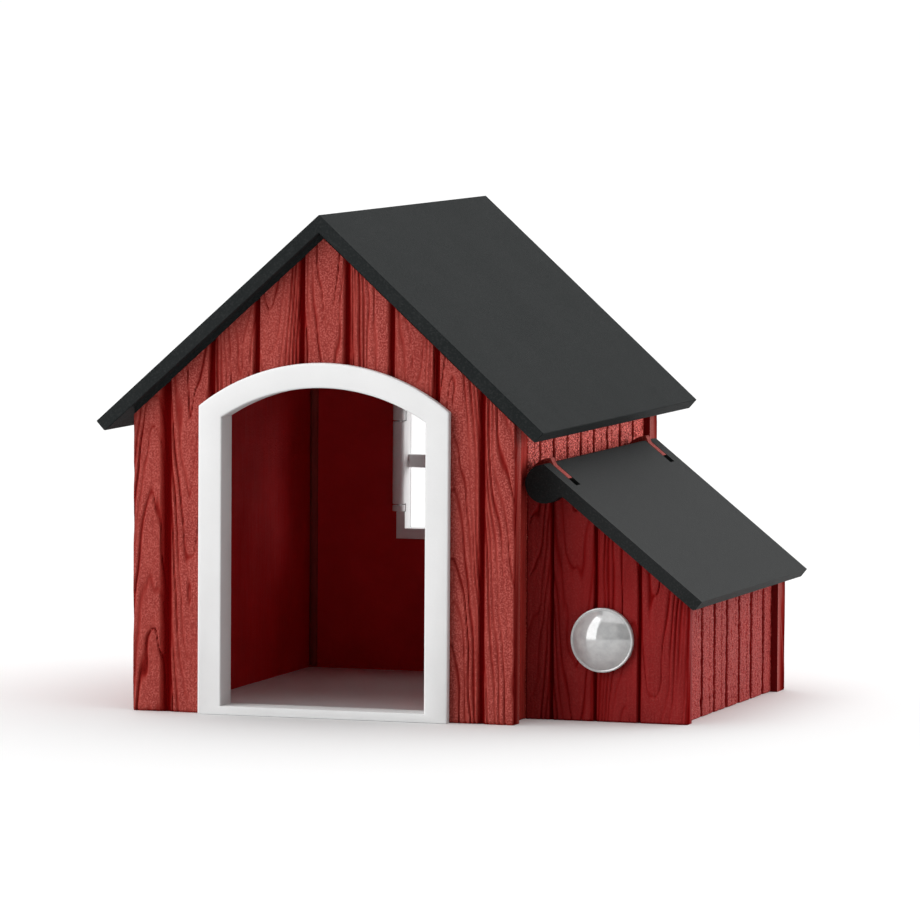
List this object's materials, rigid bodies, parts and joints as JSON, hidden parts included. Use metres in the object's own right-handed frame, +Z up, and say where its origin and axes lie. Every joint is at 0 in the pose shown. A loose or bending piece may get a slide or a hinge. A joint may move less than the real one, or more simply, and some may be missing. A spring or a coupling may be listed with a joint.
{
  "type": "toy animal hut",
  "caption": "Planked gable hut with an arched doorway, a barred rear window that opens, and a lean-to store under a hinged lid.",
  "frame": {"origin": "centre of the footprint of the whole part at rest, at ground level", "axes": "+X to the right seen from the front, towards the store; +Y to the back, so the doorway faces -Y; +Z up"},
  "size_m": [0.1302, 0.1172, 0.1066],
  "materials": {
    "front_wall": "satin, moulded plank and wood-grain texture",
    "back_wall": "satin, moulded plank and wood-grain texture",
    "left_wall": "satin, moulded plank and wood-grain texture",
    "right_wall": "satin, moulded plank and wood-grain texture",
    "roof": "fine matte texture",
    "roof_rib_front": "fine matte texture",
    "roof_rib_back": "fine matte texture",
    "roof_screw_front_left": "plain",
    "roof_screw_front_right": "plain",
    "roof_screw_back_left": "plain",
    "roof_screw_back_right": "plain",
    "door_frame": "satin white",
    "window_frame": "satin white",
    "window_sash": "satin white",
    "window_pin": "plain",
    "store_front_wall": "satin, moulded plank and wood-grain texture",
    "store_side_wall": "satin, moulded plank and wood-grain texture",
    "store_back_wall": "satin, moulded plank and wood-grain texture",
    "store_floor": "satin, moulded plank and wood-grain texture",
    "store_lid": "fine matte texture",
    "lid_hook_front": "satin, moulded plank and wood-grain texture",
    "lid_hook_back": "satin, moulded plank and wood-grain texture",
    "porthole_lens": "glossy, translucent and milky",
    "porthole_retainer": "fine matte texture"
  },
  "bodies": {
    "hutch": {"front_wall": "front_wall", "back_wall": "back_wall", "left_wall": "left_wall", "right_wall": "right_wall", "roof": "roof", "roof_rib_front": "roof_rib_front", "roof_rib_back": "roof_rib_back", "roof_screw_front_left": "roof_screw_front_left", "roof_screw_front_right": "roof_screw_front_right", "roof_screw_back_left": "roof_screw_back_left", "roof_screw_back_right": "roof_screw_back_right", "door_frame": "door_frame", "window_frame": "window_frame", "window_pin": "window_pin", "store_front_wall": "store_front_wall", "store_side_wall": "store_side_wall", "store_back_wall": "store_back_wall", "store_floor": "store_floor", "lid_hook_front": "lid_hook_front", "lid_hook_back": "lid_hook_back", "porthole_lens": "porthole_lens", "porthole_retainer": "porthole_retainer"},
    "lid": {"store_lid": "store_lid"},
    "sash": {"window_sash": "window_sash"}
  },
  "joints": [
    {"name": "lid_hinge", "type": "hinge", "parent": "hutch", "child": "lid", "pos_m": [0.03031, -0.0024, 0.0502], "axis": [0, -1, 0], "range_deg": [0, 90]},
    {"name": "window_hinge", "type": "hinge", "parent": "hutch", "child": "sash", "pos_m": [-0.03069, 0.0437, 0.04715], "axis": [0, 0, -1], "range_deg": [0, 95]}
  ]
}
